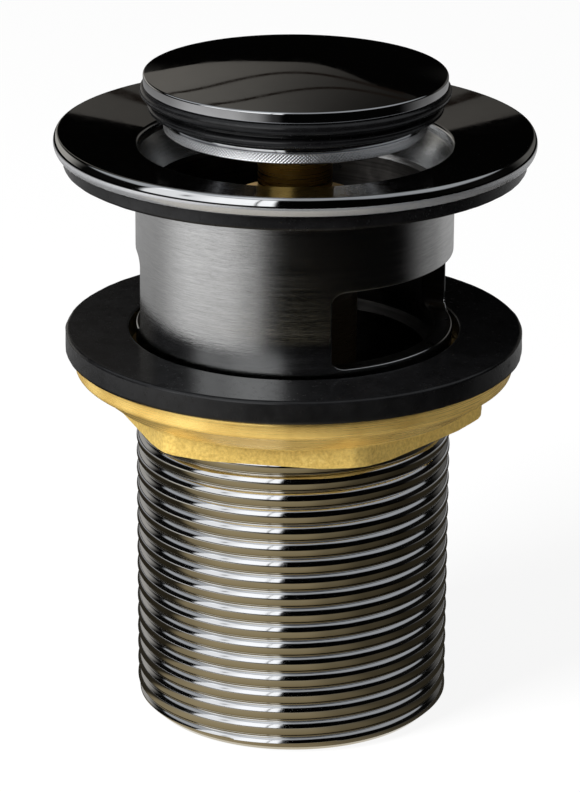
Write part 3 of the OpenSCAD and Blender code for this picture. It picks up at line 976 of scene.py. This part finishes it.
def room_glow(side, lift):
    """Colour of the room in a direction: a window, dim walls and a ceiling that comes lower at the sides.

    The angles go to the right from the camera's side, and up from the level.
    """
    glass = angle_step(side, (-180, 0), (-76, 0), (-72, 0.75), (-48, 0.8), (-36, 1), (-18.6, 1),
                       (-17.4, 0.05), (-16.2, 1), (-10.5, 1), (-8, 0), (180, 0))
    glass *= smoothstep((lift - 2) / 3) * smoothstep((48 - lift) / 4)
    glass *= 1 - 0.75 * math.exp(-(((side + 52) / 2.5) ** 2) - ((lift - 26) / 6) ** 2)
    walls = angle_step(abs(side), (0, 0.001), (60, 0.0015), (95, 0.005), (120, 0.003), (180, 0.001))
    flank = angle_step(side, (-180, 0), (-172, 0), (-158, 0.45), (-132, 0.45), (-114, 0),
                       (118, 0), (138, 0.12), (158, 0.12), (172, 0), (180, 0))
    walls += flank * smoothstep((26 - lift) / 12)
    sky = angle_step(side, (-180, 0.3), (-110, 0.5), (-65, 0.55), (-45, 0.95), (-20, 1.0), (0, 0.42),
                     (30, 0.42), (100, 0.45), (180, 0.3))
    sky += (0.42 - sky) * smoothstep((lift - 70) / 20)
    foot = angle_step(side, (-180, 56), (-145, 56), (-115, 25), (-82, 27), (-62, 42), (-45, 46), (20, 46),
                      (50, 36), (80, 27), (115, 25), (145, 56), (180, 56))
    sky *= smoothstep((lift - foot) / 5)
    return (1.5 * glass + walls + 0.92 * sky, 1.53 * glass + 0.97 * walls + 0.96 * sky,
            1.55 * glass + 0.9 * walls + sky)


def table_glow(side, reach):
    """Colour of the table top: wood close by, bright further off at the window's side."""
    wood = angle_step(side, (-180, 0.03), (-84, 0.03), (-70, 0.34), (-45, 0.48), (-20, 0.46), (5, 0.34),
                      (25, 0.19), (48, 0.08), (80, 0.03), (180, 0.03))
    far = angle_step(side, (-180, 0.35), (-112, 0.4), (-75, 0.92), (-47, 0.84), (-30, 0.5), (-15, 0.06),
                     (-8, 0.001), (80, 0.001), (112, 0.24), (134, 0.42), (180, 0.4))
    far *= 0.6 + 0.42 * smoothstep((reach - 0.15) / 0.08) - 0.42 * smoothstep((reach - 0.305) / 0.025)
    outer = smoothstep((reach - 0.13) / 0.025)
    edge = smoothstep((0.38 - reach) / 0.03)
    return tuple((wood * tint + (far - wood * tint) * outer) * edge + 0.001 for tint in (1.0, 0.88, 0.64))


def painted(name):
    """Shade that glows in the colour stored at each point, and lights nothing by itself."""
    material = bpy.data.materials.new(name)
    material.use_nodes = True
    tree = material.node_tree
    tree.nodes.remove(tree.nodes["Principled BSDF"])
    stored = tree.nodes.new("ShaderNodeAttribute")
    stored.attribute_name = "glow"
    glow = tree.nodes.new("ShaderNodeEmission")
    tree.links.new(stored.outputs["Color"], glow.inputs["Color"])
    tree.links.new(glow.outputs["Emission"], tree.nodes["Material Output"].inputs["Surface"])
    material.cycles.emission_sampling = "NONE"
    return material


def painted_grid(name, rows, material):
    """Stage surface from rows of (point, colour)."""
    width = len(rows[0])
    points = [p for row in rows for p, _ in row]
    faces = []
    for k in range(len(rows) - 1):
        for i in range(width - 1):
            faces.append((k * width + i, k * width + i + 1, (k + 1) * width + i + 1, (k + 1) * width + i))
    thing = reflector(staged(name, points, faces, material))
    layer = thing.data.color_attributes.new("glow", "FLOAT_COLOR", "POINT")
    layer.data.foreach_set("color", [v for row in rows for _, c in row for v in (*c, 1.0)])
    return thing


def beside(side, reach, z):
    """Point at a distance from the axis, on the side of an angle."""
    a = math.radians(side)
    return (reach * math.sin(a), -reach * math.cos(a), z)


def far_wall(shade):
    """Grey wall behind the object with two dark wavy lines, which the cap mirrors."""
    top, line_half, line_gap = 0.62, 0.0055, 0.002
    across = [-0.16 + 0.01 * k for k in range(33)]
    rows = [[], []]
    for x in across:
        low = angle_step(x, (-0.16, 0.12), (-0.07, 0.205), (0.0, 0.24), (0.08, 0.33), (0.16, 0.37))
        level = 0.012 + 0.15 * smoothstep((0.12 - x) / 0.24) ** 1.4
        rows[0].append(((x, WALL_Y, low), (level, 0.94 * level, 0.84 * level)))
        rows[1].append(((x, WALL_Y, top), (0.8 * level, 0.77 * level, 0.7 * level)))
    painted_grid("far_wall", rows, shade)
    lines = (
        ((-0.12, 0.318), (-0.085, 0.331), (0.0, 0.291), (0.09, 0.335)),
        ((-0.12, 0.395), (-0.07, 0.416), (0.045, 0.354), (0.1, 0.362)),
    )
    dark = (0.012, 0.009, 0.007)
    for k, stops in enumerate(lines):
        rows = [[], []]
        for x in across:
            if stops[0][0] <= x <= stops[-1][0]:
                z = angle_step(x, *stops)
                rows[0].append(((x, WALL_Y - line_gap, z - line_half), dark))
                rows[1].append(((x, WALL_Y - line_gap, z + line_half), dark))
        painted_grid(f"wall_line_{k + 1}", rows, shade)


def reflected_room():
    """What the chrome mirrors: a dim room with one window, seen in reflections only."""
    shade = painted("room_paint")
    columns, levels, table_z = 480, 60, 0.0004
    sides = [-180 + 360 * i / columns for i in range(columns + 1)]
    rows = []
    for k in range(levels + 1):
        lift = 90 * k / levels
        e = math.radians(lift)
        reach, z = ROOM_R * math.cos(e), ROOM_R * math.sin(e)
        rows.append([(beside(s, reach, z), room_glow(s, lift)) for s in sides])
    painted_grid("room", rows, shade)
    rows = []
    for reach in [0.02 + 0.005 * k for k in range(77)] + [ROOM_R]:
        rows.append([(beside(s, reach, table_z), table_glow(s, reach)) for s in sides])
    painted_grid("table", rows, shade)
    far_wall(shade)


def white_floor():
    """Pale floor that takes the part's shadow and is nearly white to the camera."""
    size, low = 6.0, -0.0001
    material = bpy.data.materials.new("white_floor")
    material.use_nodes = True
    tree = material.node_tree
    bsdf = tree.nodes["Principled BSDF"]
    bsdf.inputs["Base Color"].default_value = (0.86, 0.86, 0.86, 1)
    bsdf.inputs["Roughness"].default_value = 0.8
    bsdf.inputs["Specular IOR Level"].default_value = 0.1
    glow = tree.nodes.new("ShaderNodeEmission")
    glow.inputs["Strength"].default_value = 1.0
    seen = seen_directly(tree)
    share = tree.nodes.new("ShaderNodeMath")
    share.operation = "MULTIPLY"
    share.inputs[1].default_value = 0.9
    tree.links.new(seen, share.inputs[0])
    mix = tree.nodes.new("ShaderNodeMixShader")
    tree.links.new(share.outputs[0], mix.inputs["Fac"])
    tree.links.new(bsdf.outputs["BSDF"], mix.inputs[1])
    tree.links.new(glow.outputs["Emission"], mix.inputs[2])
    tree.links.new(mix.outputs["Shader"], tree.nodes["Material Output"].inputs["Surface"])
    staged("floor", [(-size, -size, low), (size, -size, low), (size, size, low), (-size, size, low)],
           [(0, 1, 2, 3)], material)


def seen_directly(tree):
    """1 for camera, glossy and transmission rays."""
    path = tree.nodes.new("ShaderNodeLightPath")
    total = path.outputs["Is Camera Ray"]
    for name in ("Is Glossy Ray", "Is Transmission Ray"):
        either = tree.nodes.new("ShaderNodeMath")
        either.operation = "MAXIMUM"
        tree.links.new(total, either.inputs[0])
        tree.links.new(path.outputs[name], either.inputs[1])
        total = either.outputs[0]
    return total


def white_world():
    """White background that lights the part only dimly."""
    world = bpy.data.worlds.new("white_world")
    bpy.context.scene.world = world
    world.use_nodes = True
    tree = world.node_tree
    background = tree.nodes["Background"]
    background.inputs["Color"].default_value = (1, 1, 1, 1)
    level = tree.nodes.new("ShaderNodeMapRange")
    level.inputs["To Min"].default_value = 0.24
    level.inputs["To Max"].default_value = 1.0
    tree.links.new(seen_directly(tree), level.inputs["Value"])
    tree.links.new(level.outputs["Result"], background.inputs["Strength"])


def soft_lamp(name, angle, lift, distance, size, power):
    """Lamp aimed at the object; its angle goes to the right from the camera's side."""
    light = bpy.data.lights.new(name, "AREA")
    light.shape = "RECTANGLE"
    light.size, light.size_y = size
    light.energy = power
    lamp = bpy.data.objects.new(name, light)
    e = math.radians(lift)
    spot = FACING @ (Vector(beside(angle, math.cos(e), math.sin(e))) * distance + AIM)
    turn = (AIM - spot).to_track_quat("-Z", "Y").to_matrix().to_4x4()
    lamp.matrix_world = Matrix.Translation(spot) @ turn
    lamp.visible_glossy = False
    bpy.context.scene.collection.objects.link(lamp)


def set_camera():
    """Camera as measured from the photograph, in the same turned frame as the stage."""
    pitch, yaw, roll = 0.3458573, -0.00097218, 0.00710177
    place_y, place_z = -0.473360, 0.213294
    focal_px, image_px, sensor = 3771.453, 792, 36.0
    forward = Vector((math.sin(yaw) * math.cos(pitch), math.cos(yaw) * math.cos(pitch), -math.sin(pitch)))
    right = Vector((math.cos(yaw), -math.sin(yaw), 0))
    up = right.cross(forward)
    side = right * math.cos(roll) + up * math.sin(roll)
    top = up * math.cos(roll) - right * math.sin(roll)
    pose = Matrix.Identity(4)
    for k in range(3):
        pose[k][0], pose[k][1], pose[k][2] = side[k], top[k], -forward[k]
    pose[1][3], pose[2][3] = place_y, place_z
    data = bpy.data.cameras.new("camera")
    data.sensor_fit = "VERTICAL"
    data.sensor_height = sensor
    data.lens = focal_px * sensor / image_px
    data.clip_start = 0.01
    camera = bpy.data.objects.new("camera", data)
    camera.matrix_world = FACING @ pose
    bpy.context.scene.collection.objects.link(camera)
    bpy.context.scene.camera = camera


polished = bright_chrome("polished_chrome")
brushed = brushed_chrome("brushed_chrome")
satin = satin_chrome_painted_shade("satin_bore_painted_shade")
thread = threaded_chrome_shaded_below("threaded_chrome_shaded_below")
frosted = frosted_chrome("frosted_chrome")
knurl = knurled_chrome_painted_light("knurled_chrome_painted_light")
black = rubber("black_rubber")
# Painted shade: the brass of the hub and stem is darkened by a tint of 0.75, for the shade under the cap.
brass = turned_brass("turned_brass", 1.0, 0.75)
# Painted shade on the cartridge housing below 69 mm, inside the barrel.
dark_brass = brass_painted_shade_below("brass_painted_shade_below", 69)
nut_brass = turned_brass("nut_brass", 0.65, 1.17)
sand = cast_brass("cast_brass")
white = acetal("acetal")
steel = stainless("stainless_steel")

body_shell([polished, brushed, satin, thread, frosted])
bridge([satin])
plug_cap([polished])
plug_seal([black])
clamp_ring([polished, knurl])
rubber_ring("gasket_ring", 23.0, RUBBER_R, GASKET_LOW, FLANGE_LOW, 0.4,
            [(-140, 76.0, 0.7), (-20, 76.2, 0.6), (70, 76.0, 0.8)],
            [black], "body", "flange_gasket")
rubber_ring("washer_ring", 21.855, RUBBER_R, NUT_HIGH, WASHER_HIGH, 0.5,
            [(-131, 51.8, 1.0), (-118, 50.6, 0.7), (8, 51.2, 0.9), (95, 51.0, 0.8), (160, 51.6, 0.7)],
            [black], "washer", "rubber_washer")
backnut([sand, nut_brass])
coil_spring([steel])

for node, finish in {
    "plug_hub": brass, "stem": brass, "cartridge_housing": dark_brass, "stem_o_ring": black,
    "push_crown": white, "rotor": white, "index_sleeve": white, "guide_bush": white,
    "thrust_washer": steel, "snap_ring": steel,
}.items():
    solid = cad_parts[node]
    solid.data.materials.clear()
    solid.data.materials.append(finish)

set_camera()
white_world()
white_floor()
reflected_room()
soft_lamp("key_lamp", -52, 34, 0.9, (0.35, 0.5), 19)
soft_lamp("fill_lamp", 62, 30, 1.0, (0.4, 0.4), 1)

bpy.context.scene.view_settings.view_transform = "Standard"
